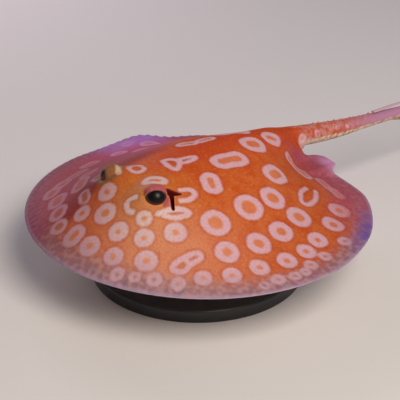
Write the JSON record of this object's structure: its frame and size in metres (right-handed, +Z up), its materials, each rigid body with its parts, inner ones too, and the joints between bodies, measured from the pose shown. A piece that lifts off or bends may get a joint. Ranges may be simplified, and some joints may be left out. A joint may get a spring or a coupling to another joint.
{
  "type": "freshwater stingray model",
  "caption": "Life-size young freshwater stingray, gliding: a domed round disc with raised eyes, pelvic lobes and a long tail with a sting, held on a round base by short rods.",
  "frame": {"origin": "centre of the underside of the stand's round base", "axes": "+Z up; +Y from the snout towards the tail; +X to the animal's left"},
  "size_m": [0.241, 0.4488, 0.0884],
  "materials": {
    "skin": "smooth moist skin, orange with pale ring marks, cream underneath",
    "eye": "glossy dark eye",
    "sting": "satin pinkish ivory, bony",
    "stand_base": "satin black lacquer",
    "stand_rod": "brushed steel"
  },
  "bodies": {
    "root": {"head": "skin", "trunk": "skin", "pectoral_fin_left": "skin", "pectoral_fin_right": "skin", "pelvic_fin_left": "skin", "pelvic_fin_right": "skin", "tail_base": "skin", "tail_middle": "skin", "tail_end": "skin", "tail_sting": "sting", "eye_left": "eye", "eye_right": "eye", "stand_base": "stand_base", "stand_rod_front": "stand_rod", "stand_rod_rear": "stand_rod"}
  },
  "joints": []
}
